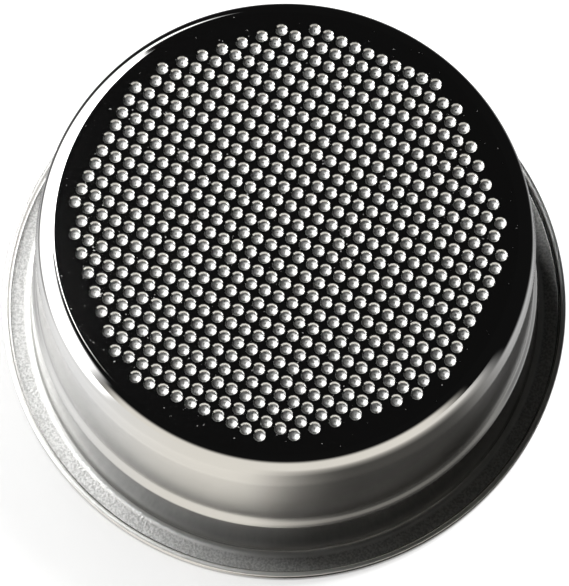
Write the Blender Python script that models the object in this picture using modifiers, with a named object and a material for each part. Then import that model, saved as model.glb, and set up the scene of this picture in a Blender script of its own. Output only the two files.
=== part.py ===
"""Espresso filter basket: one pressed steel cup, standing on its mouth with the perforated base up.

Metres, +Z up. The axis of the cup is Z, and its flange lies on z = 0.
"""

import math

import bmesh
import bpy
from mathutils import Matrix, Vector

# Sheet, height, and the outside diameter of the wall just above the shoulder.
SHEET = 0.0006
HEIGHT = 0.0298
WALL_DIAMETER = 0.0586

# The wall leans in up to the knee, and the base edge runs in from there to the flat. Depths are below the base.
WALL_LEAN = 0.00075
KNEE_DEPTH = 0.0050
BASE_EDGE_WIDTH = 0.0024
BASE_EDGE_RADIUS = 0.0036
BASE_EDGE_SLOPE = math.radians(27)

# Shoulder, and the band that leans out from it down to the flange.
SHOULDER_DEPTH = 0.0188
SHOULDER_WIDTH = 0.0006
SHOULDER_FALL = 0.0010
BAND_LEAN = 0.0007

# Flange and its turned-up lip.
FLANGE_WIDTH = 0.0034
FLANGE_CORNER_RADIUS = 0.0007
LIP_RISE = 0.0013
LIP_BEND_RADIUS = 0.0004

# Perforation: a square grid inside a circle whose four diagonal sides are trimmed.
HOLE_PITCH = 0.0017
HOLE_MOUTH_DIAMETER = 0.0015
HOLE_EXIT_DIAMETER = 0.0003
PATTERN_BORDER = 0.0017
PATTERN_SIDE_TRIM = 0.0009
PATTERN_TURN = math.radians(-24.5)

# Facets.
TURN_STEPS = 36
EDGE_STEPS = 3
CORNER_STEPS = 1
BEND_STEPS = 2
HOLE_SIDES = 3
CUT_MARGIN = 0.00005

STEEL_COLOUR = (0.62, 0.61, 0.58, 1.0)
STEEL_ROUGHNESS = 0.12

# Outside radii at the knee and at the edge of the flat base.
KNEE_RADIUS = WALL_DIAMETER / 2 - WALL_LEAN
FLAT_RADIUS = KNEE_RADIUS - BASE_EDGE_WIDTH


def clear_scene():
    for old in list(bpy.data.objects):
        bpy.data.objects.remove(old, do_unlink=True)


def new_collection(name):
    made = bpy.data.collections.new(name)
    bpy.context.scene.collection.children.link(made)
    return made


def steel():
    material = bpy.data.materials.new("polished_steel")
    material.use_nodes = True
    shader = material.node_tree.nodes["Principled BSDF"]
    shader.inputs["Base Color"].default_value = STEEL_COLOUR
    shader.inputs["Metallic"].default_value = 1.0
    shader.inputs["Roughness"].default_value = STEEL_ROUGHNESS
    return material


def at_angle(angle):
    """The unit vector at an angle from the radius towards +Z."""
    return Vector((math.cos(angle), math.sin(angle)))


def base_edge(start, knee):
    """Points of the round from the edge of the flat base to where its tangent runs to the knee."""
    centre = start - at_angle(math.pi / 2 - BASE_EDGE_SLOPE) * BASE_EDGE_RADIUS
    to_knee = knee - centre
    last = math.atan2(to_knee.y, to_knee.x) + math.acos(BASE_EDGE_RADIUS / to_knee.length)
    first = math.pi / 2 - BASE_EDGE_SLOPE
    angles = [first + (last - first) * i / EDGE_STEPS for i in range(EDGE_STEPS + 1)]
    return [centre + at_angle(angle) * BASE_EDGE_RADIUS for angle in angles]


def rounded(before, corner, after, radius, steps):
    """Points of the arc of this radius that replaces the corner between two straight runs."""
    to_before = (before - corner).normalized()
    to_after = (after - corner).normalized()
    half = to_before.angle(to_after) / 2
    centre = corner + (to_before + to_after).normalized() * radius / math.sin(half)
    start = corner + to_before * radius / math.tan(half) - centre
    sweep = math.pi - 2 * half
    if start.cross(to_after) < 0:
        sweep = -sweep
    return [centre + Matrix.Rotation(sweep * i / steps, 2) @ start for i in range(steps + 1)]


def outside_profile():
    """The outer surface as (radius, height) points, from the edge of the flat base to the lip."""
    knee = Vector((KNEE_RADIUS, HEIGHT - KNEE_DEPTH))
    wall_foot = Vector((WALL_DIAMETER / 2, HEIGHT - SHOULDER_DEPTH))
    band_top = wall_foot + Vector((SHOULDER_WIDTH, -SHOULDER_FALL))
    band_foot = Vector((band_top.x + BAND_LEAN, SHEET))
    lip_foot = Vector((band_foot.x + FLANGE_WIDTH - SHEET, SHEET))
    lip_top = lip_foot + Vector((0, LIP_RISE))
    points = base_edge(Vector((FLAT_RADIUS, HEIGHT)), knee)
    points += [knee, wall_foot, band_top]
    points += rounded(band_top, band_foot, lip_foot, FLANGE_CORNER_RADIUS, CORNER_STEPS)
    points += rounded(band_foot, lip_foot, lip_top, LIP_BEND_RADIUS, BEND_STEPS)
    points.append(lip_top)
    return points


def mitred(before, point, after):
    """The point moved to the inner side of the sheet, at a sheet's distance from both of its runs."""
    inward = [Vector((run.y, -run.x)).normalized() for run in (point - before, after - point)]
    return point + (inward[0] + inward[1]) * SHEET / (1 + inward[0].dot(inward[1]))


def section():
    """The closed edge of the sheet as (radius, height) points: down the outside, over the lip, up the inside."""
    outside = outside_profile()
    before = [Vector((0, HEIGHT))] + outside[:-1]
    after = outside[1:] + [outside[-1] * 2 - outside[-2]]
    inside = [mitred(a, b, c) for a, b, c in zip(before, outside, after)]
    return outside + inside[::-1]


def turned_cup(name, points):
    """The cup that a section sweeps round Z, as a mesh with both faces of its base closed by one flat face."""
    mesh = bpy.data.meshes.new(name + "_section")
    mesh.from_pydata([(r, 0, z) for r, z in points], [(i, i + 1) for i in range(len(points) - 1)], [])
    sweep = bpy.data.objects.new(name + "_sweep", mesh)
    bpy.context.scene.collection.objects.link(sweep)
    screw = sweep.modifiers.new("Screw", "SCREW")
    screw.steps = TURN_STEPS
    screw.render_steps = TURN_STEPS
    screw.use_merge_vertices = True
    screw.merge_threshold = 1e-5
    graph = bpy.context.evaluated_depsgraph_get()
    cup = bpy.data.meshes.new_from_object(sweep.evaluated_get(graph))
    bpy.data.objects.remove(sweep, do_unlink=True)

    bm = bmesh.new()
    bm.from_mesh(cup)
    middle = HEIGHT - SHEET / 2
    open_edges = [e for e in bm.edges if e.is_boundary]
    for above in (True, False):
        loop = [e for e in open_edges if (e.verts[0].co.z > middle) == above]
        bmesh.ops.contextual_create(bm, geom=loop)
    bmesh.ops.recalc_face_normals(bm, faces=bm.faces)
    bm.to_mesh(cup)
    bm.free()
    return cup


def hole_places():
    """Grid points of the perforation, about the axis."""
    radius = FLAT_RADIUS - PATTERN_BORDER
    reach = (radius - PATTERN_SIDE_TRIM) * math.sqrt(2)
    most = math.ceil(radius / HOLE_PITCH)
    line = [(i + 0.5) * HOLE_PITCH for i in range(-most, most)]
    inside = [
        Vector((x, y))
        for x in line
        for y in line
        if math.hypot(x, y) <= radius and abs(x) + abs(y) <= reach
    ]
    turn = Matrix.Rotation(PATTERN_TURN, 2)
    return [turn @ place for place in inside]


def hole_cutters(name):
    """One tapered pin for each hole, longer than the sheet is thick."""
    slope = (HOLE_MOUTH_DIAMETER - HOLE_EXIT_DIAMETER) / 2 / SHEET
    bm = bmesh.new()
    for place in hole_places():
        bmesh.ops.create_cone(
            bm,
            cap_ends=True,
            segments=HOLE_SIDES,
            radius1=HOLE_EXIT_DIAMETER / 2 - slope * CUT_MARGIN,
            radius2=HOLE_MOUTH_DIAMETER / 2 + slope * CUT_MARGIN,
            depth=SHEET + 2 * CUT_MARGIN,
            matrix=Matrix.Translation((place.x, place.y, HEIGHT - SHEET / 2)),
        )
    mesh = bpy.data.meshes.new(name)
    bm.to_mesh(mesh)
    bm.free()
    cutter = bpy.data.objects.new(name, mesh)
    cutter.hide_render = True
    cutter.display_type = "WIRE"
    return cutter


def filter_basket(parts, cutters):
    basket = bpy.data.objects.new("filter_basket", turned_cup("filter_basket", section()))
    basket.data.materials.append(steel())
    parts.objects.link(basket)

    cutter = hole_cutters("hole_cutters")
    cutters.objects.link(cutter)
    holes = basket.modifiers.new("Holes", "BOOLEAN")
    holes.operation = "DIFFERENCE"
    holes.solver = "EXACT"
    holes.object = cutter
    return basket


def main():
    clear_scene()
    parts = new_collection("espresso_filter_basket")
    cutters = new_collection("cutters")
    cutters.hide_render = True
    filter_basket(parts, cutters)


main()
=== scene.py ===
"""Espresso filter basket: a polished pressed cup, mouth down on a white table, in soft studio light."""

import math

import bmesh
import bpy
from bpy.props import FloatProperty, FloatVectorProperty, IntProperty, PointerProperty
from mathutils import Matrix, Vector


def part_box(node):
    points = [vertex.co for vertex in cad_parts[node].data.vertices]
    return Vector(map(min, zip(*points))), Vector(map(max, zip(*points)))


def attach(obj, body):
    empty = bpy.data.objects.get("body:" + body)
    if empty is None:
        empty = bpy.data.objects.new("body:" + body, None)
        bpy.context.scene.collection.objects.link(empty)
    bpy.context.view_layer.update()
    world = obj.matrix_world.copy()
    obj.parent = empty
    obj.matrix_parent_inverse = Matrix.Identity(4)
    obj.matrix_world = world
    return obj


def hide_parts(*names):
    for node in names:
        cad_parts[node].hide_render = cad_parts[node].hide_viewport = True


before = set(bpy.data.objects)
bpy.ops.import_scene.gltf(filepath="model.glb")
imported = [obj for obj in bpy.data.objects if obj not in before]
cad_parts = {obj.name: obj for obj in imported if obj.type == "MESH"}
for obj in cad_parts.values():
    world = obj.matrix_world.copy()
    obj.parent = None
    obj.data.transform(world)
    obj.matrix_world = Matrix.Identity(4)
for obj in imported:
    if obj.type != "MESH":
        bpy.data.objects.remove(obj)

bl_info = {
    "name": "Espresso filter basket",
    "version": (1, 0, 0),
    "blender": (4, 5, 0),
    "location": "3D View > Sidebar > Basket",
    "description": "Builds a perforated espresso filter basket and the studio it stands in",
    "category": "Add Mesh",
}

NODE = "filter_basket"
CAD_LOW, CAD_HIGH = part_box(NODE)

# The most of a straight run that one bend may take, so that it never meets the next bend.
ROOM_SHARE = 0.99

# Steps in the bends of the section, and the least radius that a bend keeps.
FLAT_EDGE_STEPS = 6
BASE_EDGE_STEPS = 24
KNEE_STEPS = 12
BEND_STEPS = 8
RIM_EDGE_STEPS = 5
LEAST_RADIUS = 1e-5

# How close the points stand that keep smooth shading in the bends, and the shortest run that gets them.
HOLD = 0.00005
HELD_RUN = 8 * HOLD

# Points nearer than this are one point, and edges within the second distance of a height lie at that height.
SAME_POINT = 1e-6
SAME_HEIGHT = 1e-5

# The corners of a cell of the base in half pitches, counter-clockwise.
CELL_CORNERS = ((1, 1), (-1, 1), (-1, -1), (1, -1))

# Shading breaks at edges that turn by more than this.
SHARP_ANGLE = math.radians(20)

# Depth below the base at which the finish of the dimples begins.
SKIN = 0.00003

# Shares of the knee's depth, counted up from the knee, between which the polish turns to satin.
WALL_FADE = (0.7, 0.2)

# Shares of the flange corner's radius where the grain has begun, and where the painted highlight on the
# fillet has ended.
GRAIN_START = 0.35
HIGHLIGHT_END = 1.5

# Values of the noises between which grains and specks of dust appear, and the detail of the noises.
GRAIN_STEP = (0.35, 0.65)
DUST_STEP = (0.74, 0.80)
BLOTCH_DETAIL = 3.0
GRAIN_DETAIL = 2.0
DUST_DETAIL = 1.0

# Brightness of the darker blotches, of the flange between its grains and on them, and of the painted edge
# highlight.
BLOTCH_TONE = 0.92
GRAIN_DARK = 0.62
GRAIN_LIGHT = 0.92
HIGHLIGHT_TONE = 1.15

# Sectors of the painted light and shade that reflections show: bearing, half width and blur in degrees.
TALL_WINDOW = (143, 24, 2)
SIDE_WINDOW = (167, 33, 12)
FRONT_CARD = (269, 56, 8)
FLOOR_WINDOW = (158, 54, 6)
FLOOR_FRONT = (262, 74, 9)
FLOOR_FRONT_LEFT = (217, 48, 12)
FLOOR_SHADE = (304, 28, 16)
FLOOR_BACK = (88, 48, 25)
FLOOR_RIM = (200, 62, 12)
FLOOR_WARM = (278, 48, 25)

# Elevations in degrees between which the painted lights of the tent fade.
TALL_FADE = (76, 72)
SIDE_FADE = (33, 22)
FRONT_FADE = (26, 13)
ROOF_FADE = (40, 60)

# Distances in metres from the axis between which the parts of the floor fade, and places in X for its window.
NEAR_FADE = (0.062, 0.036)
SHADE_FADE = (0.15, 0.04)
FOOT_FADE = (0.0385, 0.0335)
RIGHT_FOOT_FADE = (0.0380, 0.0362)
RIM_FADE = (0.0358, 0.0348)
FLOOR_WINDOW_FADE = (-0.052, -0.072)

# Painted light of the floor near the cup, what its front left adds and its back takes, the painted light
# beside the rim and the least of it, which is painted shade, and the share of the window's light on the
# floor.
NEAR_LIGHT = 0.65
FRONT_LEFT_GAIN = 0.45
BACK_LOSS = 0.3
RIM_LIGHT = 0.9
RIM_LEAST = 0.06
WINDOW_ON_FLOOR = 0.5

# How much light the painted shadows on the floor take, and what the front left gives back at the cup's foot.
SHADE_DEPTH = 0.9
FOOT_DEPTH = 0.75
FOOT_LEFT_GAIN = 0.15
RIGHT_FOOT_DEPTH = 0.96

# Keeps the distance from the axis above zero where it divides.
NOT_ZERO = 1e-6

# Segments and rings of the tent, and the decimals that the panel shows of a length.
TENT_SEGMENTS = 64
TENT_RINGS = 32
DECIMALS = 5


def length(name, description, default):
    """A property that holds a length in metres."""
    return FloatProperty(
        name=name, description=description, default=default, min=0.0, unit="LENGTH", precision=DECIMALS
    )


def angle(name, description, degrees):
    """A property that holds an angle."""
    return FloatProperty(name=name, description=description, default=math.radians(degrees), subtype="ANGLE")


def fraction(name, description, default):
    """A property between 0 and 1."""
    return FloatProperty(name=name, description=description, default=default, min=0, max=1)


def amount(name, description, default):
    """A property that is never negative."""
    return FloatProperty(name=name, description=description, default=default, min=0)


def tint(name, description, default):
    """A property that holds a colour."""
    return FloatVectorProperty(
        name=name, description=description, default=default, subtype="COLOR", min=0, max=1
    )


class CupSizes(bpy.types.PropertyGroup):
    """Section of the turned cup, in metres."""

    rim_diameter: length("Rim", "Diameter over the lip", CAD_HIGH.x - CAD_LOW.x)
    height: length("Height", "From the mouth's plane to the outside of the base", CAD_HIGH.z)
    sheet: length("Sheet", "Thickness of the steel", 0.0006)
    flat_diameter: length("Flat", "Diameter of the flat part of the base", 0.0523)
    flat_edge_radius: length("Flat edge", "Outside radius of the tight bend at the edge of the flat", 0.0003)
    base_edge_radius: length("Base edge", "Outside radius of the round below the flat", 0.0036)
    base_edge_slope: angle("Base edge slope", "Fall of the round at its upper end", 27)
    knee_diameter: length("Knee", "Outside diameter where the taper below the round meets the wall", 0.0571)
    knee_depth: length("Knee depth", "From the base down to the knee", 0.0050)
    knee_radius: length("Knee radius", "Outside radius of the knee", 0.008)
    wall_foot_diameter: length("Wall foot", "Outside diameter of the wall above the shoulder", 0.0586)
    shoulder_depth: length("Shoulder depth", "From the base down to the shoulder", 0.0188)
    shoulder_width: length("Shoulder width", "How far the shoulder steps out", 0.0006)
    shoulder_fall: length("Shoulder fall", "How far the shoulder comes down", 0.0010)
    shoulder_radius: length("Shoulder radius", "Radius of both bends of the shoulder", 0.0016)
    band_foot_diameter: length("Band foot", "Outside diameter of the band at the flange", 0.0612)
    corner_radius: length("Flange corner", "Outside radius between band and flange", 0.0007)
    lip_rise: length("Lip", "How far the lip stands up from the flange", 0.0013)
    lip_bend_radius: length("Lip bend", "Inner radius between flange and lip", 0.0004)
    lip_edge_radius: length("Lip edge", "Rounding of the sheared edge", 0.0002)
    turn_segments: IntProperty(name="Segments", description="Segments round the axis", default=256, min=24)


class HoleSizes(bpy.types.PropertyGroup):
    """The perforation of the base."""

    pitch: length("Pitch", "Distance between holes along a row", 0.0017)
    mouth_diameter: length("Dimple", "Diameter of a dimple in the outside face", 0.00144)
    bowl_diameter: length("Dimple bowl", "Diameter where a dimple's side meets its bowl", 0.00104)
    floor_diameter: length("Dimple floor", "Diameter where a dimple's bowl meets its floor", 0.0006)
    hole_diameter: length("Hole", "Diameter of the hole in the floor of a dimple", 0.00024)
    side_slope: angle("Side", "Slope of a dimple's side from the base", 46.5)
    bowl_slope: angle("Bowl", "Slope of a dimple's bowl from the base", 19)
    floor_slope: angle("Floor", "Slope of a dimple's floor from the base", 5)
    border: length("Border", "From the outermost hole's centre to the edge of the flat base", 0.0017)
    side_trim: length("Side trim", "How far the four diagonal sides are cut off inside the circle", 0.0009)
    turn: angle("Turn", "Angle of the rows from +X", -24.46)
    offset: FloatVectorProperty(
        name="Offset",
        description="Middle of the pattern from the axis",
        default=(0.00016, -0.00004),
        size=2,
        subtype="TRANSLATION",
        unit="LENGTH",
        precision=DECIMALS,
    )
    dimple_segments: IntProperty(name="Segments", description="Segments round a dimple", default=12, min=8)


class SteelLook(bpy.types.PropertyGroup):
    """Colours, polish and grain of the steel."""

    colour: tint("Steel", "Reflected colour", (0.64, 0.635, 0.625))
    matt_colour: tint("Matt steel", "Reflected colour where the steel is rough", (0.80, 0.80, 0.785))
    polish: fraction("Polish", "Roughness of the flat base", 0.05)
    punched: fraction("Punched", "Roughness of the dimples' sides", 0.24)
    torn: fraction("Torn", "Roughness of the dimples' floors", 0.5)
    satin: fraction("Satin", "Roughness of the wall", 0.2)
    grain: fraction("Grain", "Roughness of the flange, its fillet and the sheared rim", 0.46)
    speck: fraction("Speck", "Roughness that dust adds on the base", 0.3)
    uneven: fraction("Uneven", "Variation of the wall's roughness", 0.05)
    blotch_scale: amount("Blotch scale", "Scale of the blotches", 160.0)
    grain_scale: amount("Grain scale", "Scale of the flange's grains", 3800.0)
    dust_scale: amount("Dust scale", "Scale of the dust", 2600.0)
    relief: fraction("Relief", "Strength of the grain's relief", 0.6)
    relief_height: length("Relief height", "Height of the grain's relief", 0.00008)


class StudioLook(bpy.types.PropertyGroup):
    """Table, tent, lamp and camera."""

    table_colour: tint("Table", "Colour of the table", (0.93, 0.93, 0.925))
    table_glow: amount("Table glow", "Light that keeps the table white to the camera", 0.34)
    table_roughness: fraction("Table roughness", "Roughness of the table", 0.9)
    table_size: length("Table size", "Side of the table", 4.0)
    window_light: amount("Window", "Light of the window at the left", 5.0)
    front_light: amount("Front card", "Light of the low front card", 1.1)
    front_colour: tint("Front colour", "Tint of the front card", (1.0, 0.96, 0.88))
    dark_light: amount("Dark cloth", "Light of the dark sides", 0.008)
    roof_light: amount("Roof", "Light of the dark roof", 0.007)
    tent_radius: length("Tent", "Radius of the tent that reflections show", 0.6)
    floor_drop: length("Floor drop", "How far the reflected floor lies below the table", 0.0001)
    backdrop_light: amount("Backdrop", "Strength of the world to the camera, gloss and glass", 1.0)
    world_light: amount("World", "Strength of the world as a light", 0.7)
    lamp_power: amount("Lamp", "Power of the lamp in watts", 2.2)
    lamp_size: length("Lamp size", "Diameter of the lamp", 0.25)
    lamp_place: FloatVectorProperty(
        name="Lamp place",
        description="Where the lamp hangs",
        default=(0.27, 0.25, 0.55),
        subtype="TRANSLATION",
        unit="LENGTH",
    )
    lens: FloatProperty(name="Lens", description="Focal length in millimetres", default=199.17, min=1)
    sensor: FloatProperty(name="Sensor", description="Sensor width in millimetres", default=36.0, min=1)
    distance: length("Distance", "Camera to its aim in the plane of the base", 0.3624)
    aim: length("Aim", "How far in front of the axis the camera aims", 0.00763)
    elevation: angle("Elevation", "Camera above the table", 73.0)
    roll: angle("Roll", "Camera roll", 1.42)


class Field:
    """A value in a node tree. Arithmetic on it adds Math nodes to that tree."""

    def __init__(self, tree, socket):
        self.tree = tree
        self.socket = socket

    def math(self, operation, first, second=None):
        values = {0: first} if second is None else {0: first, 1: second}
        return self.tree.add("ShaderNodeMath", {"operation": operation}, values)

    def __add__(self, other):
        return self.math("ADD", self, other)

    def __radd__(self, other):
        return self.math("ADD", other, self)

    def __sub__(self, other):
        return self.math("SUBTRACT", self, other)

    def __rsub__(self, other):
        return self.math("SUBTRACT", other, self)

    def __mul__(self, other):
        return self.math("MULTIPLY", self, other)

    def __rmul__(self, other):
        return self.math("MULTIPLY", other, self)

    def __truediv__(self, other):
        return self.math("DIVIDE", self, other)

    def __rtruediv__(self, other):
        return self.math("DIVIDE", other, self)

    def __pow__(self, other):
        return self.math("POWER", self, other)

    def __gt__(self, other):
        return self.math("GREATER_THAN", self, other)

    def __lt__(self, other):
        return self.math("LESS_THAN", self, other)

    def __abs__(self):
        return self.math("ABSOLUTE", self)


class Tree:
    """A node tree written as expressions."""

    def __init__(self, node_tree):
        self.node_tree = node_tree

    def add(self, kind, settings=None, inputs=None, output=0):
        """Adds a node, sets its settings, then its sockets from values or fields, and gives one output."""
        node = self.node_tree.nodes.new(kind)
        for name, value in (settings or {}).items():
            setattr(node, name, value)
        for key, value in (inputs or {}).items():
            if isinstance(value, Field):
                self.node_tree.links.new(value.socket, node.inputs[key])
            else:
                node.inputs[key].default_value = value
        return Field(self, node.outputs[output]) if node.outputs else None

    def split(self, vector):
        """The three parts of a vector."""
        first = self.add("ShaderNodeSeparateXYZ", inputs={"Vector": vector})
        return [Field(self, socket) for socket in first.socket.node.outputs]

    def smooth(self, value, low, high):
        """0 below low and 1 above high, with a soft step between them."""
        return self.add(
            "ShaderNodeMapRange",
            {"interpolation_type": "SMOOTHSTEP"},
            {"Value": value, "From Min": low, "From Max": high},
        )

    def noise(self, place, scale, detail):
        """A noise between 0 and 1."""
        return self.add("ShaderNodeTexNoise", inputs={"Vector": place, "Scale": scale, "Detail": detail})

    def mix(self, share, first, second):
        """A mix of two colours, which are inputs 6 and 7 and output 2 of the node."""
        return self.add(
            "ShaderNodeMix", {"data_type": "RGBA"}, {"Factor": share, 6: first, 7: second}, output=2
        )


def opaque(colour):
    """A colour with full alpha, as a socket takes it."""
    return (*colour, 1.0)


def toned(colour, tone):
    """A colour made darker or lighter by a factor."""
    return opaque([part * tone for part in colour])


def empty_material(name):
    """A material with an empty tree."""
    material = bpy.data.materials.new(name)
    material.use_nodes = True
    material.node_tree.nodes.clear()
    return material, Tree(material.node_tree)


def rounded(before, corner, after, radius, steps):
    """Points of the arc of this radius that replaces the corner between two straight runs."""
    to_before = (before - corner).normalized()
    to_after = (after - corner).normalized()
    half = to_before.angle(to_after) / 2
    centre = corner + (to_before + to_after).normalized() * radius / math.sin(half)
    start = corner + to_before * radius / math.tan(half) - centre
    sweep = math.pi - 2 * half
    if to_before.cross(to_after) > 0:
        sweep = -sweep
    return [centre + Matrix.Rotation(sweep * i / steps, 2) @ start for i in range(steps + 1)]


def base_edge_corner(sizes, flat_edge, knee):
    """Where the slope below the flat's edge meets the taper that touches the round and the knee."""
    slope = sizes.base_edge_slope
    down = Vector((math.cos(slope), -math.sin(slope)))
    start = flat_edge + down * sizes.flat_edge_radius * math.tan(slope / 2)
    centre = start - Vector((math.sin(slope), math.cos(slope))) * sizes.base_edge_radius
    to_knee = knee - centre
    last = math.atan2(to_knee.y, to_knee.x) + math.acos(sizes.base_edge_radius / to_knee.length)
    touch = centre + Vector((math.cos(last), math.sin(last))) * sizes.base_edge_radius
    return crossing((flat_edge, start), (touch, knee))


def bends_of(sizes):
    """The outside of the cup as bends: (corner, radius, steps), between the axis and the top of the lip."""
    rim = sizes.rim_diameter / 2
    foot = sizes.wall_foot_diameter / 2
    shoulder = sizes.height - sizes.shoulder_depth
    flat_edge = Vector((sizes.flat_diameter / 2, sizes.height))
    knee = Vector((sizes.knee_diameter / 2, sizes.height - sizes.knee_depth))
    band_top = Vector((foot + sizes.shoulder_width, shoulder - sizes.shoulder_fall))
    return [
        (Vector((0, sizes.height)), 0, 0),
        (flat_edge, sizes.flat_edge_radius, FLAT_EDGE_STEPS),
        (base_edge_corner(sizes, flat_edge, knee), sizes.base_edge_radius, BASE_EDGE_STEPS),
        (knee, sizes.knee_radius, KNEE_STEPS),
        (Vector((foot, shoulder)), sizes.shoulder_radius, BEND_STEPS),
        (band_top, sizes.shoulder_radius, BEND_STEPS),
        (Vector((sizes.band_foot_diameter / 2, sizes.sheet)), sizes.corner_radius, BEND_STEPS),
        (Vector((rim - sizes.sheet, sizes.sheet)), sizes.lip_bend_radius, BEND_STEPS),
        (Vector((rim - sizes.sheet, sizes.sheet + sizes.lip_rise)), 0, 0),
    ]


def offset_line(a, b, distance):
    """The line through a and b, moved to its right by a distance."""
    along = (b - a).normalized()
    aside = Vector((along.y, -along.x)) * distance
    return a + aside, b + aside


def crossing(first, second):
    """Where two endless lines cross."""
    a, b = first
    c, d = second
    run, other = b - a, d - c
    share = (c - a).cross(other) / run.cross(other)
    return a + run * share


def side_points(bends, distance):
    """The rounded outline of one side of the sheet, the outside moved inwards by a distance."""
    corners = [corner for corner, _, _ in bends]
    lines = [offset_line(a, b, distance) for a, b in zip(corners, corners[1:])]
    moved = [lines[0][0]] + [crossing(a, b) for a, b in zip(lines, lines[1:])] + [lines[-1][1]]
    points = []
    for i in range(1, len(bends) - 1):
        _, radius, steps = bends[i]
        turn = (corners[i] - corners[i - 1]).cross(corners[i + 1] - corners[i])
        radius = radius - distance if turn < 0 else radius + distance
        runs = moved[i - 1] - moved[i], moved[i + 1] - moved[i]
        room = min(run.length for run in runs) * math.tan(runs[0].angle(runs[1]) / 2) * ROOM_SHARE
        fitted = min(max(radius, LEAST_RADIUS), room)
        points += rounded(moved[i - 1], moved[i], moved[i + 1], fitted, steps)
    return points, moved[-1]


def held(points):
    """The points with two more near the ends of each long straight run."""
    result = [points[0]]
    for a, b in zip(points, points[1:]):
        if (b - a).length > HELD_RUN:
            along = (b - a).normalized() * HOLD
            result += [a + along, b - along]
        result.append(b)
    return result


def cup_section(sizes):
    """The whole section of the cup, from the outer edge of the flat base round the lip to its inner edge."""
    bends = bends_of(sizes)
    outside, outside_tip = side_points(bends, 0)
    inside, inside_tip = side_points(bends, sizes.sheet)
    edge = sizes.lip_edge_radius
    tip = rounded(outside[-1], outside_tip, inside_tip, edge, RIM_EDGE_STEPS)
    tip += rounded(outside_tip, inside_tip, inside[-1], edge, RIM_EDGE_STEPS)
    section = outside + tip + inside[::-1]
    inwards = Vector((-HOLD, 0))
    return [section[0] + inwards] + held(section) + [section[-1] + inwards]


def turned(points, segments):
    """A mesh of the surface that the section sweeps round Z."""
    mesh = bpy.data.meshes.new("section")
    mesh.from_pydata([(p.x, 0, p.y) for p in points], [(i, i + 1) for i in range(len(points) - 1)], [])
    sweep = bpy.data.objects.new("section", mesh)
    bpy.context.scene.collection.objects.link(sweep)
    screw = sweep.modifiers.new("Turn", "SCREW")
    screw.steps = segments
    screw.render_steps = segments
    screw.use_merge_vertices = True
    screw.merge_threshold = SAME_POINT
    skin = bpy.data.meshes.new_from_object(sweep.evaluated_get(bpy.context.evaluated_depsgraph_get()))
    bpy.data.objects.remove(sweep, do_unlink=True)
    return skin


def dimple_profile(sizes, sheet):
    """(radius, height) down one dimple and its hole, from its mouth in the outside to the inside."""
    diameters = sizes.mouth_diameter, sizes.bowl_diameter, sizes.floor_diameter, sizes.hole_diameter
    radii = [diameter / 2 for diameter in diameters]
    points = [(radii[0], 0)]
    for radius, slope in zip(radii[1:], (sizes.side_slope, sizes.bowl_slope, sizes.floor_slope)):
        before, height = points[-1]
        points.append((radius, height - (before - radius) * math.tan(slope)))
    return points + [(radii[-1], -sheet)]


def dimple_cell(sizes, sheet):
    """One square of the base, a pitch wide, with its dimple and through hole."""
    half = sizes.pitch / 2
    count = sizes.dimple_segments
    bm = bmesh.new()
    rings = []
    for radius, height in dimple_profile(sizes, sheet):
        angles = [math.pi / 4 + math.tau * k / count for k in range(count)]
        rings.append([bm.verts.new((radius * math.cos(a), radius * math.sin(a), height)) for a in angles])
    for upper, lower in zip(rings, rings[1:]):
        for k in range(count):
            bm.faces.new((upper[k - 1], lower[k - 1], lower[k], upper[k]))
    quarter = count // 4
    for ring, height, flip in ((rings[0], 0, False), (rings[-1], -sheet, True)):
        corners = [bm.verts.new((half * x, half * y, height)) for x, y in CELL_CORNERS]
        for k in range(4):
            arc = [ring[(k * quarter + j) % count] for j in range(quarter + 1)]
            face = [corners[k], corners[(k + 1) % 4]] + arc[::-1]
            bm.faces.new(face[::-1] if flip else face)
    mesh = bpy.data.meshes.new("dimple_cell")
    bm.to_mesh(mesh)
    bm.free()
    return mesh


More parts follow.
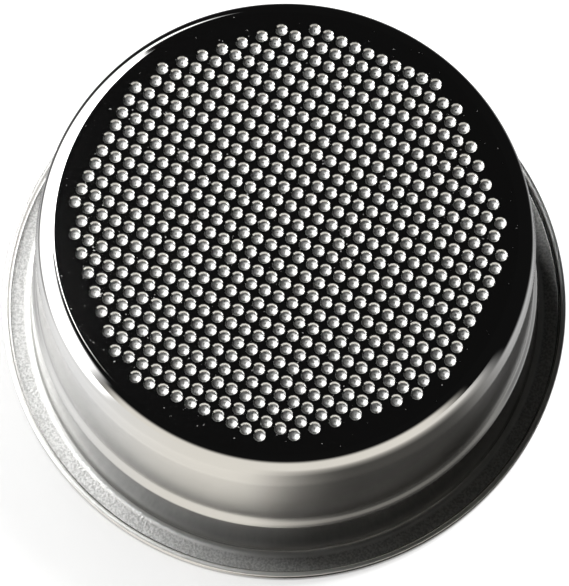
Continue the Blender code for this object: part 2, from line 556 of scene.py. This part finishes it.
def dimple_field_tree():
    """Geometry nodes that set a cell on each point of a square grid inside a trimmed circle."""
    group = bpy.data.node_groups.new("dimple_field", "GeometryNodeTree")
    group.is_modifier = True
    for name, kind in (
        ("Cell", "NodeSocketObject"),
        ("Pitch", "NodeSocketFloat"),
        ("Columns", "NodeSocketInt"),
        ("Radius", "NodeSocketFloat"),
        ("Corner reach", "NodeSocketFloat"),
        ("Turn", "NodeSocketFloat"),
        ("Place", "NodeSocketVector"),
        ("Material", "NodeSocketMaterial"),
    ):
        group.interface.new_socket(name, in_out="INPUT", socket_type=kind)
    group.interface.new_socket("Geometry", in_out="OUTPUT", socket_type="NodeSocketGeometry")
    tree = Tree(group)
    entry = group.nodes.new("NodeGroupInput")
    given = {socket.name: Field(tree, socket) for socket in entry.outputs if socket.name}

    side = (given["Columns"] - 1.0) * given["Pitch"]
    columns = given["Columns"]
    grid_sizes = {"Size X": side, "Size Y": side, "Vertices X": columns, "Vertices Y": columns}
    grid = tree.add("GeometryNodeMeshGrid", inputs=grid_sizes)
    points = tree.add("GeometryNodeMeshToPoints", inputs={"Mesh": grid})
    x, y, _ = tree.split(tree.add("GeometryNodeInputPosition"))
    away = (x * x + y * y) ** 0.5
    reach = abs(x) + abs(y)
    outside = (away > given["Radius"]) + (reach > given["Corner reach"])
    kept = tree.add("GeometryNodeDeleteGeometry", inputs={"Geometry": points, "Selection": outside})
    cell = tree.add("GeometryNodeObjectInfo", inputs={"Object": given["Cell"]}, output="Geometry")
    cells = tree.add("GeometryNodeInstanceOnPoints", inputs={"Points": kept, "Instance": cell})
    turn = tree.add("ShaderNodeCombineXYZ", inputs={"Z": given["Turn"]})
    placed = tree.add(
        "GeometryNodeTransform", inputs={"Geometry": cells, "Translation": given["Place"], "Rotation": turn}
    )
    real = tree.add("GeometryNodeRealizeInstances", inputs={"Geometry": placed})
    merged = tree.add("GeometryNodeMergeByDistance", inputs={"Geometry": real, "Distance": SAME_POINT})
    painted = tree.add("GeometryNodeSetMaterial", inputs={"Geometry": merged, "Material": given["Material"]})
    leave = group.nodes.new("NodeGroupOutput")
    group.links.new(painted.socket, leave.inputs["Geometry"])
    return group


def dimple_field(cup, holes, flat_radius, material):
    """The perforated part of the base as a mesh."""
    cell = bpy.data.objects.new("dimple_cell", dimple_cell(holes, cup.sheet))
    carrier = bpy.data.objects.new("dimple_field", bpy.data.meshes.new("dimple_field"))
    bpy.context.scene.collection.objects.link(cell)
    bpy.context.scene.collection.objects.link(carrier)
    radius = flat_radius - holes.border
    tree = dimple_field_tree()
    field = carrier.modifiers.new("Dimples", "NODES")
    field.node_group = tree
    values = {
        "Cell": cell,
        "Pitch": holes.pitch,
        "Columns": 2 * math.ceil(radius / holes.pitch),
        "Radius": radius,
        "Corner reach": (radius - holes.side_trim) * math.sqrt(2),
        "Turn": holes.turn,
        "Place": (holes.offset[0], holes.offset[1], cup.height),
        "Material": material,
    }
    for item in tree.interface.items_tree:
        if item.in_out == "INPUT":
            field[item.identifier] = values[item.name]
    carrier.update_tag()
    bpy.context.view_layer.update()
    mesh = bpy.data.meshes.new_from_object(carrier.evaluated_get(bpy.context.evaluated_depsgraph_get()))
    carrier.modifiers.remove(field)
    for helper in (cell, carrier):
        bpy.data.objects.remove(helper, do_unlink=True)
    return mesh


def close_base(bm, height, upwards):
    """Fills the flat ring between the dimple field and the turned cup, at one face of the base."""
    rims = [e for e in bm.edges if e.is_boundary]
    edges = [e for e in rims if all(abs(v.co.z - height) < SAME_HEIGHT for v in e.verts)]
    filled = bmesh.ops.triangle_fill(bm, edges=edges, use_beauty=True)
    faces = [f for f in filled["geom"] if isinstance(f, bmesh.types.BMFace)]
    if not faces:
        raise RuntimeError("the ring round the holes could not be filled")
    wrong = [f for f in faces if (f.normal.z > 0) != upwards]
    bmesh.ops.reverse_faces(bm, faces=wrong)


def settings(context):
    """The sizes and looks that the panel's scene holds."""
    scene = context.scene
    return scene.cup_sizes, scene.hole_sizes, scene.steel_look, scene.studio_look


class BASKET_OT_cup(bpy.types.Operator):
    """Press the cup and perforate its base"""

    bl_idname = "basket.cup"
    bl_label = "Filter basket"

    def execute(self, context):
        cup, holes, steel, _ = settings(context)
        material = steel_material(cup, holes, steel)
        section = cup_section(cup)
        bm = bmesh.new()
        bm.from_mesh(turned(section, cup.turn_segments))
        bmesh.ops.recalc_face_normals(bm, faces=bm.faces)
        outermost = max(bm.faces, key=lambda f: f.calc_center_median().xy.length)
        if outermost.normal.xy.dot(outermost.calc_center_median().xy) < 0:
            bmesh.ops.reverse_faces(bm, faces=bm.faces)
        bm.from_mesh(dimple_field(cup, holes, cup.flat_diameter / 2, material))
        bm.normal_update()
        close_base(bm, cup.height, True)
        close_base(bm, cup.height - cup.sheet, False)
        if any(e.is_boundary for e in bm.edges):
            raise RuntimeError("the basket isn't closed")
        mesh = bpy.data.meshes.new("filter_basket_steel")
        bm.to_mesh(mesh)
        bm.free()
        mesh.materials.clear()
        mesh.materials.append(material)
        mesh.shade_smooth()
        mesh.set_sharp_from_angle(angle=SHARP_ANGLE)
        basket = bpy.data.objects.new("pressed_basket", mesh)
        context.scene.collection.objects.link(basket)
        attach(basket, "root")
        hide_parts(NODE)
        return {"FINISHED"}


def steel_material(cup, holes, look):
    """Pressed stainless sheet: bright base, satin dimples and wall, grainy flange, rough sheared rim, painted
    edge highlight.
    """
    material, tree = empty_material("pressed_stainless")
    place = tree.add("ShaderNodeTexCoord", output="Object")
    x, y, z = tree.split(place)
    radius = (x * x + y * y) ** 0.5

    top = cup.height
    dimpled = radius < cup.flat_diameter / 2 - holes.border / 2
    in_dimple = tree.smooth(z, top - SKIN, top - 2 * SKIN) * dimpled
    side_foot, bowl_foot = (top + point[1] for point in dimple_profile(holes, cup.sheet)[1:3])
    on_dimple_floor = tree.smooth(z, side_foot, bowl_foot) * in_dimple
    on_flat = tree.smooth(z, top - 2 * SKIN, top - SKIN)
    knee = top - cup.knee_depth
    on_wall = tree.smooth(z, *(knee + cup.knee_depth * part for part in WALL_FADE))

    band_foot = cup.band_foot_diameter / 2
    corner = cup.corner_radius
    lip_foot = cup.rim_diameter / 2 - cup.sheet - cup.lip_bend_radius
    lip_top = cup.sheet + cup.lip_rise
    on_edge = tree.smooth(z, lip_top - cup.lip_edge_radius, lip_top - cup.lip_edge_radius / 2)
    on_edge = on_edge * (radius > lip_foot)
    on_flange = tree.smooth(radius, band_foot, band_foot + corner * GRAIN_START)
    on_flange = on_flange * tree.smooth(radius, lip_foot + cup.lip_bend_radius / 2, lip_foot)
    # Painted highlight: the fillet at the flange and the sheared edge get a lighter base colour for the
    # bright lines there.
    on_fillet = on_flange * tree.smooth(radius, band_foot + corner * HIGHLIGHT_END, band_foot + corner)
    rough = on_flange + on_edge
    painted_highlight = on_fillet + on_edge

    blotches = tree.noise(place, look.blotch_scale, BLOTCH_DETAIL)
    grains = tree.noise(place, look.grain_scale, GRAIN_DETAIL)
    dust = tree.noise(place, look.dust_scale, DUST_DETAIL)
    specks = tree.smooth(dust, *DUST_STEP) * on_flat
    roughness = look.polish + (look.satin - look.polish) * on_wall + specks * look.speck
    roughness = roughness + (look.grain - look.satin) * rough + (look.punched - look.polish) * in_dimple
    roughness = roughness + (look.torn - look.punched) * on_dimple_floor
    roughness = roughness + (blotches - 0.5) * on_wall * look.uneven

    matt = look.matt_colour
    bright = tree.mix(blotches, opaque(look.colour), toned(look.colour, BLOTCH_TONE))
    grainy = tree.mix(tree.smooth(grains, *GRAIN_STEP), toned(matt, GRAIN_DARK), toned(matt, GRAIN_LIGHT))
    # Painted highlight: the lighter colour on the fillet and the sheared edge.
    grainy = tree.mix(painted_highlight, grainy, toned(matt, HIGHLIGHT_TONE))
    colour = tree.mix(in_dimple, tree.mix(rough, bright, grainy), opaque(matt))
    bump = tree.add(
        "ShaderNodeBump",
        inputs={"Height": grains * on_flange, "Strength": look.relief, "Distance": look.relief_height},
    )
    shader = tree.add(
        "ShaderNodeBsdfPrincipled",
        inputs={"Base Color": colour, "Metallic": 1.0, "Roughness": roughness, "Normal": bump},
    )
    tree.add("ShaderNodeOutputMaterial", inputs={"Surface": shader})
    return material


def table_material(cup, look):
    """White board that stays white to the camera round the cup, and keeps the shadow."""
    material, tree = empty_material("white_table")
    x, y, _ = tree.split(tree.add("ShaderNodeTexCoord", output="Object"))
    round_cup = ((x * x + y * y) ** 0.5) > cup.rim_diameter / 2
    seen = tree.add("ShaderNodeLightPath", output="Is Camera Ray")
    paint = {
        "Base Color": opaque(look.table_colour),
        "Roughness": look.table_roughness,
        "Specular IOR Level": 0.0,
    }
    glow = {"Emission Color": opaque((1, 1, 1)), "Emission Strength": look.table_glow}
    paper = tree.add("ShaderNodeBsdfPrincipled", inputs=paint)
    bright = tree.add("ShaderNodeBsdfPrincipled", inputs=paint | glow)
    shader = tree.add("ShaderNodeMixShader", inputs={0: seen * round_cup, 1: paper, 2: bright})
    tree.add("ShaderNodeOutputMaterial", inputs={"Surface": shader})
    return material


def sector(tree, x, y, radius, bearing, half_width, blur):
    """1 inside a sector of the compass and 0 outside it, with soft sides. The angles are in degrees."""
    bearing, half_width, blur = (math.radians(value) for value in (bearing, half_width, blur))
    facing = (x * math.cos(bearing) + y * math.sin(bearing)) / radius
    return tree.smooth(facing, math.cos(half_width + blur), math.cos(half_width - blur))


def by_elevation(tree, height, fade):
    """0 beyond the first of two elevations and 1 beyond the second, for a height in radii of the tent."""
    return tree.smooth(height, *(math.sin(math.radians(value)) for value in fade))


def glow_material(name, light_of, look):
    """A surface that shines: light_of gives the strength of white and of the front tint at a place."""
    material, tree = empty_material(name)
    place = tree.add("ShaderNodeTexCoord", output="Object")
    x, y, z = tree.split(place)
    plain, tinted = light_of(tree, x, y, z, look)
    parts = [plain + tinted * part for part in look.front_colour]
    light = tree.add("ShaderNodeCombineColor", inputs=dict(enumerate(parts)))
    shader = tree.add(
        "ShaderNodeBsdfPrincipled",
        inputs={
            "Base Color": opaque((0, 0, 0)),
            "Specular IOR Level": 0.0,
            "Emission Color": light,
            "Emission Strength": 1.0,
        },
    )
    tree.add("ShaderNodeOutputMaterial", inputs={"Surface": shader})
    return material


def tent_light(tree, x, y, z, look):
    """The tent's painted reflections: a tall window from the back left, a low card along the front, dark
    cloth elsewhere.
    """
    flat = (x * x + y * y) ** 0.5 + NOT_ZERO
    height = z / look.tent_radius
    tall = sector(tree, x, y, flat, *TALL_WINDOW) * by_elevation(tree, height, TALL_FADE)
    side = sector(tree, x, y, flat, *SIDE_WINDOW) * by_elevation(tree, height, SIDE_FADE)
    window = tall + side - tall * side
    front = sector(tree, x, y, flat, *FRONT_CARD) * by_elevation(tree, height, FRONT_FADE)
    roof = by_elevation(tree, height, ROOF_FADE)
    dark = roof * (look.roof_light - look.dark_light) + look.dark_light
    return window * look.window_light + dark, front * look.front_light


def floor_light(tree, x, y, z, look):
    """The floor as the steel shows it, painted: lit at the left and the front, painted shadow at the front
    right.
    """
    radius = (x * x + y * y) ** 0.5 + NOT_ZERO
    near = tree.smooth(radius, *NEAR_FADE)
    window = tree.smooth(x, *FLOOR_WINDOW_FADE) * sector(tree, x, y, radius, *FLOOR_WINDOW)
    front = sector(tree, x, y, radius, *FLOOR_FRONT)
    front_left = sector(tree, x, y, radius, *FLOOR_FRONT_LEFT)
    # Painted shadow: the cup's shadow at the front right, and painted shade at the cup's foot and beside its
    # rim.
    shade = sector(tree, x, y, radius, *FLOOR_SHADE)
    back = sector(tree, x, y, radius, *FLOOR_BACK)
    foot = tree.smooth(radius, *FOOT_FADE) * front
    right_foot_shade = tree.smooth(radius, *RIGHT_FOOT_FADE) * (1.0 - front)

    far_front = front * (1.0 - near) * (1.0 - shade * tree.smooth(radius, *SHADE_FADE) * SHADE_DEPTH)
    near_light = near * (front_left * FRONT_LEFT_GAIN + NEAR_LIGHT - back * BACK_LOSS)
    near_light = near_light * (1.0 - shade * SHADE_DEPTH)
    foot_loss = foot * (FOOT_DEPTH - front_left * FOOT_LEFT_GAIN)
    near_light = near_light * (1.0 - foot_loss - right_foot_shade * RIGHT_FOOT_DEPTH)
    rim = tree.smooth(radius, *RIM_FADE)
    rim_light = sector(tree, x, y, radius, *FLOOR_RIM) * RIM_LIGHT + RIM_LEAST

    lit = far_front * look.front_light + near_light * (1.0 - rim) + rim * rim_light
    warm = sector(tree, x, y, radius, *FLOOR_WARM)
    plain = window * (look.window_light * WINDOW_ON_FLOOR) + look.dark_light + lit * (1.0 - warm)
    return plain, lit * warm


def reflected_only(stage_object):
    """Lets only reflections show a piece of the stage."""
    stage_object.visible_camera = False
    stage_object.visible_diffuse = False
    stage_object.visible_transmission = False
    stage_object.visible_shadow = False


class BASKET_OT_studio(bpy.types.Operator):
    """Set the table, the cards, the lamp and the camera"""

    bl_idname = "basket.studio"
    bl_label = "Studio"

    def execute(self, context):
        cup, _, _, look = settings(context)
        scene = context.scene
        scene.view_settings.view_transform = "Standard"

        bpy.ops.mesh.primitive_plane_add(size=look.table_size)
        table = context.object
        table.name = "table"
        table.data.materials.append(table_material(cup, look))

        # Painted reflections: a glowing dome that only reflections see, with a window, a card and dark cloth
        # painted on it.
        bpy.ops.mesh.primitive_uv_sphere_add(
            segments=TENT_SEGMENTS, ring_count=TENT_RINGS, radius=look.tent_radius
        )
        tent = context.object
        tent.name = "tent"
        tent.data.materials.append(glow_material("painted_tent_glow", tent_light, look))
        tent.data.shade_smooth()
        reflected_only(tent)

        # Painted reflection: a glowing floor that only reflections see, with its light and the cup's shadow
        # painted on it.
        bpy.ops.mesh.primitive_plane_add(size=2 * look.tent_radius, location=(0, 0, -look.floor_drop))
        painted_reflection_floor = context.object
        painted_reflection_floor.name = "reflected_floor"
        painted_reflection_floor.data.materials.append(glow_material("painted_floor_reflection", floor_light, look))
        reflected_only(painted_reflection_floor)
        table.visible_glossy = False

        world = bpy.data.worlds.new("studio")
        scene.world = world
        world.use_nodes = True
        world.node_tree.nodes.clear()
        tree = Tree(world.node_tree)
        white = opaque((1, 1, 1))
        backdrop = tree.add("ShaderNodeBackground", inputs={"Color": white, "Strength": look.backdrop_light})
        plain = tree.add("ShaderNodeBackground", inputs={"Color": white, "Strength": look.world_light})
        seen = tree.add("ShaderNodeLightPath", output="Is Camera Ray")
        kinds = seen.socket.node.outputs
        shown = seen + Field(tree, kinds["Is Glossy Ray"]) + Field(tree, kinds["Is Transmission Ray"])
        both = tree.add("ShaderNodeMixShader", inputs={0: shown, 1: plain, 2: backdrop})
        tree.add("ShaderNodeOutputWorld", inputs={"Surface": both})

        lamp = bpy.data.objects.new("key_lamp", bpy.data.lights.new("key_lamp", "AREA"))
        lamp.data.shape = "DISK"
        lamp.data.size = look.lamp_size
        lamp.data.energy = look.lamp_power
        lamp.location = look.lamp_place
        lamp.rotation_euler = (-lamp.location).to_track_quat("-Z", "Y").to_euler()
        lamp.visible_glossy = False
        scene.collection.objects.link(lamp)

        camera = bpy.data.objects.new("camera", bpy.data.cameras.new("camera"))
        camera.data.sensor_width = look.sensor
        camera.data.lens = look.lens
        tilt = math.pi / 2 - look.elevation
        turn = Matrix.Rotation(tilt, 3, "X") @ Matrix.Rotation(look.roll, 3, "Z")
        camera.rotation_euler = turn.to_euler()
        back = Vector((0, -math.cos(look.elevation), math.sin(look.elevation)))
        camera.location = Vector((0, -look.aim, cup.height)) + back * look.distance
        scene.collection.objects.link(camera)
        scene.camera = camera
        return {"FINISHED"}


class BASKET_PT_panel(bpy.types.Panel):
    """Lists what the add-on builds"""

    bl_label = "Filter basket"
    bl_space_type = "VIEW_3D"
    bl_region_type = "UI"
    bl_category = "Basket"

    def draw(self, context):
        for operator in OPERATORS:
            self.layout.operator(operator.bl_idname)


OPERATORS = (BASKET_OT_cup, BASKET_OT_studio)
GROUPS = {"cup_sizes": CupSizes, "hole_sizes": HoleSizes, "steel_look": SteelLook, "studio_look": StudioLook}


def register():
    for group in GROUPS.values():
        bpy.utils.register_class(group)
    for name, group in GROUPS.items():
        setattr(bpy.types.Scene, name, PointerProperty(type=group))
    for operator in OPERATORS:
        bpy.utils.register_class(operator)
    bpy.utils.register_class(BASKET_PT_panel)


def unregister():
    bpy.utils.unregister_class(BASKET_PT_panel)
    for operator in reversed(OPERATORS):
        bpy.utils.unregister_class(operator)
    for name, group in GROUPS.items():
        delattr(bpy.types.Scene, name)
        bpy.utils.unregister_class(group)


def main():
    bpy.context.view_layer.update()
    register()
    bpy.ops.basket.cup()
    bpy.ops.basket.studio()


if __name__ == "__main__":
    main()
